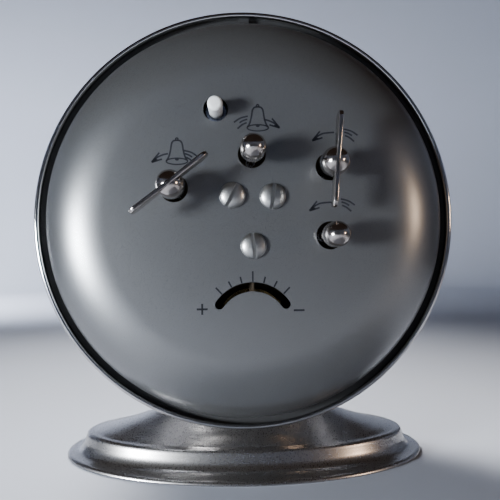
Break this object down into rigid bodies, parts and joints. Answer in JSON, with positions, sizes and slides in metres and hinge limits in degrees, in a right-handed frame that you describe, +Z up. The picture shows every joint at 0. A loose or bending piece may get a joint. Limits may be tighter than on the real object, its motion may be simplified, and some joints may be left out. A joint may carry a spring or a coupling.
{
  "type": "alarm clock",
  "caption": "Wind-up table alarm clock: round plated drum on an oval pressed foot, domed glass over a plain dial, and a grey back cover with winding keys, setting knobs, stop button and regulator slot",
  "frame": {"origin": "centre of the clock's box at the table", "axes": "+Z up, the dial faces -Y, the back with keys and knobs faces +Y"},
  "size_m": [0.113, 0.0698, 0.1237],
  "materials": {
    "alarm_click": "polished steel",
    "alarm_great_wheel": "brushed",
    "alarm_hand": "red",
    "alarm_key": "nickel plated",
    "alarm_mainspring": "polished steel",
    "alarm_set_arbor": "polished steel",
    "alarm_set_knob": "nickel plated",
    "alarm_wheel": "brushed",
    "alarm_winding_arbor": "polished steel",
    "balance": "brushed",
    "balance_cock": "brushed",
    "barrel_lid": "brushed",
    "bezel": "mirror plated",
    "cannon_pinion": "brushed",
    "case_drum": "mirror plated",
    "centre_wheel": "brushed",
    "click": "polished steel",
    "cover_posts": "turned",
    "cover_screws": "dull nickel",
    "dial": "matt, printed",
    "dial_surround": "satin",
    "dust_plate": "matt black",
    "escape_wheel": "brushed",
    "foot": "plated and softly brushed",
    "foot_clamp": "zinc plated",
    "foot_screw": "zinc plated",
    "fourth_wheel": "brushed",
    "front_plate": "brushed",
    "glass": "clear",
    "hairspring": "polished steel",
    "hammer": "polished steel",
    "hour_hand": "black",
    "hour_wheel": "brushed",
    "minute_hand": "black",
    "minute_stud": "polished steel",
    "minute_wheel": "brushed",
    "pallet_lever": "polished steel",
    "pillar_nuts": "zinc plated",
    "pillars": "turned",
    "plunger_spring": "polished steel",
    "rear_cover": "satin metallic grey",
    "rear_plate": "brushed",
    "regulator": "brushed",
    "second_stud": "polished steel",
    "second_wheel": "brushed",
    "spring_barrel": "brushed",
    "star_wheel": "brushed",
    "stop_button": "white",
    "stop_plunger": "turned",
    "third_wheel": "brushed",
    "time_key": "nickel plated",
    "time_mainspring": "polished steel",
    "time_set_arbor": "polished steel",
    "time_set_knob": "nickel plated",
    "time_winding_arbor": "polished steel"
  },
  "bodies": {
    "case": {"case_drum": "case_drum", "bezel": "bezel", "glass": "glass", "dial_surround": "dial_surround", "dial": "dial", "dust_plate": "dust_plate", "rear_cover": "rear_cover", "foot": "foot", "foot_screw": "foot_screw", "foot_clamp": "foot_clamp", "front_plate": "front_plate", "rear_plate": "rear_plate", "pillars": "pillars", "pillar_nuts": "pillar_nuts", "cover_posts": "cover_posts", "cover_screws": "cover_screws", "click": "click", "alarm_mainspring": "alarm_mainspring", "second_stud": "second_stud", "minute_stud": "minute_stud", "hairspring": "hairspring", "balance_cock": "balance_cock", "plunger_spring": "plunger_spring"},
    "time_winding": {"time_key": "time_key", "time_winding_arbor": "time_winding_arbor"},
    "barrel": {"spring_barrel": "spring_barrel", "barrel_lid": "barrel_lid", "time_mainspring": "time_mainspring"},
    "second": {"second_wheel": "second_wheel"},
    "centre": {"centre_wheel": "centre_wheel"},
    "third": {"third_wheel": "third_wheel"},
    "fourth": {"fourth_wheel": "fourth_wheel"},
    "escape": {"escape_wheel": "escape_wheel"},
    "pallet": {"pallet_lever": "pallet_lever"},
    "balance_wheel": {"balance": "balance"},
    "regulator_lever": {"regulator": "regulator"},
    "minute": {"cannon_pinion": "cannon_pinion", "minute_hand": "minute_hand"},
    "minute_work": {"minute_wheel": "minute_wheel"},
    "hour": {"hour_wheel": "hour_wheel", "hour_hand": "hour_hand"},
    "time_setting": {"time_set_knob": "time_set_knob", "time_set_arbor": "time_set_arbor"},
    "alarm_index": {"alarm_wheel": "alarm_wheel", "alarm_hand": "alarm_hand"},
    "alarm_setting": {"alarm_set_knob": "alarm_set_knob", "alarm_set_arbor": "alarm_set_arbor"},
    "alarm_winding": {"alarm_key": "alarm_key", "alarm_winding_arbor": "alarm_winding_arbor"},
    "alarm_drive": {"alarm_great_wheel": "alarm_great_wheel", "alarm_click": "alarm_click"},
    "star": {"star_wheel": "star_wheel"},
    "hammer_lever": {"hammer": "hammer"},
    "stop_push": {"stop_button": "stop_button", "stop_plunger": "stop_plunger"}
  },
  "joints": [
    {"name": "time_wind", "type": "hinge", "parent": "case", "child": "time_winding", "pos_m": [-0.021, -0.00662, 0.08], "axis": [0, 1, 0], "range_deg": [0, 2340]},
    {"name": "train_run", "type": "hinge", "parent": "case", "child": "centre", "pos_m": [0, -0.00662, 0.0672], "axis": [0, 1, 0], "continuous": true},
    {"name": "barrel_turn", "type": "hinge", "parent": "case", "child": "barrel", "pos_m": [-0.021, -0.00662, 0.08], "axis": [0, 1, 0], "continuous": true},
    {"name": "second_turn", "type": "hinge", "parent": "case", "child": "second", "pos_m": [-0.00898, -0.00662, 0.0666], "axis": [0, 1, 0], "continuous": true},
    {"name": "third_turn", "type": "hinge", "parent": "case", "child": "third", "pos_m": [0.00926, -0.00662, 0.05617], "axis": [0, 1, 0], "continuous": true},
    {"name": "fourth_turn", "type": "hinge", "parent": "case", "child": "fourth", "pos_m": [-0.002, -0.00662, 0.0523], "axis": [0, 1, 0], "continuous": true},
    {"name": "escape_turn", "type": "hinge", "parent": "case", "child": "escape", "pos_m": [-0.00921, -0.00662, 0.04508], "axis": [0, 1, 0], "continuous": true},
    {"name": "pallet_rock", "type": "hinge", "parent": "case", "child": "pallet", "pos_m": [-0.0065, -0.00662, 0.0417], "axis": [0, 1, 0], "range_deg": [-3, 3]},
    {"name": "balance_swing", "type": "hinge", "parent": "case", "child": "balance_wheel", "pos_m": [-0.00157, -0.00662, 0.04], "axis": [0, 1, 0], "range_deg": [-200, 200], "stiffness_Nm_per_rad": 0.000023},
    {"name": "regulate", "type": "hinge", "parent": "case", "child": "regulator_lever", "pos_m": [-0.00157, -0.00662, 0.04], "axis": [0, 1, 0], "range_deg": [-45, 45]},
    {"name": "minute_turn", "type": "hinge", "parent": "case", "child": "minute", "pos_m": [0, -0.00662, 0.0672], "axis": [0, 1, 0], "continuous": true},
    {"name": "minute_work_turn", "type": "hinge", "parent": "case", "child": "minute_work", "pos_m": [-0.00945, -0.00662, 0.05981], "axis": [0, 1, 0], "continuous": true},
    {"name": "hour_turn", "type": "hinge", "parent": "case", "child": "hour", "pos_m": [0, -0.00662, 0.0672], "axis": [0, 1, 0], "continuous": true},
    {"name": "time_set_turn", "type": "hinge", "parent": "case", "child": "time_setting", "pos_m": [-0.0211, -0.00662, 0.0627], "axis": [0, 1, 0], "continuous": true},
    {"name": "alarm_index_turn", "type": "hinge", "parent": "case", "child": "alarm_index", "pos_m": [0, -0.00662, 0.0672], "axis": [0, 1, 0], "continuous": true},
    {"name": "alarm_set_turn", "type": "hinge", "parent": "case", "child": "alarm_setting", "pos_m": [-0.00157, -0.00662, 0.08312], "axis": [0, 1, 0], "continuous": true},
    {"name": "alarm_wind", "type": "hinge", "parent": "case", "child": "alarm_winding", "pos_m": [0.0179, -0.00662, 0.07465], "axis": [0, 1, 0], "range_deg": [0, 1440]},
    {"name": "alarm_run", "type": "hinge", "parent": "case", "child": "alarm_drive", "pos_m": [0.0179, -0.00662, 0.07465], "axis": [0, 1, 0], "continuous": true},
    {"name": "star_turn", "type": "hinge", "parent": "case", "child": "star", "pos_m": [0.02033, -0.00662, 0.08844], "axis": [0, 1, 0], "continuous": true},
    {"name": "hammer_swing", "type": "hinge", "parent": "case", "child": "hammer_lever", "pos_m": [0.0134, -0.00662, 0.0897], "axis": [0, 1, 0], "range_deg": [-3, 3]},
    {"name": "stop_press", "type": "slide", "parent": "case", "child": "stop_push", "axis": [0, -1, 0], "range_m": [0, 0.003], "deforming": ["plunger_spring"]}
  ],
  "couplings": [
    {"joint": "barrel_turn", "follows": "train_run", "ratio": 0.1},
    {"joint": "second_turn", "follows": "train_run", "ratio": -0.5},
    {"joint": "third_turn", "follows": "train_run", "ratio": -8},
    {"joint": "fourth_turn", "follows": "train_run", "ratio": 60},
    {"joint": "escape_turn", "follows": "train_run", "ratio": -450},
    {"joint": "minute_work_turn", "follows": "minute_turn", "ratio": -0.33333},
    {"joint": "hour_turn", "follows": "minute_turn", "ratio": 0.083333},
    {"joint": "time_set_turn", "follows": "minute_turn", "ratio": 1},
    {"joint": "alarm_set_turn", "follows": "alarm_index_turn", "ratio": -3},
    {"joint": "star_turn", "follows": "alarm_run", "ratio": -6}
  ]
}
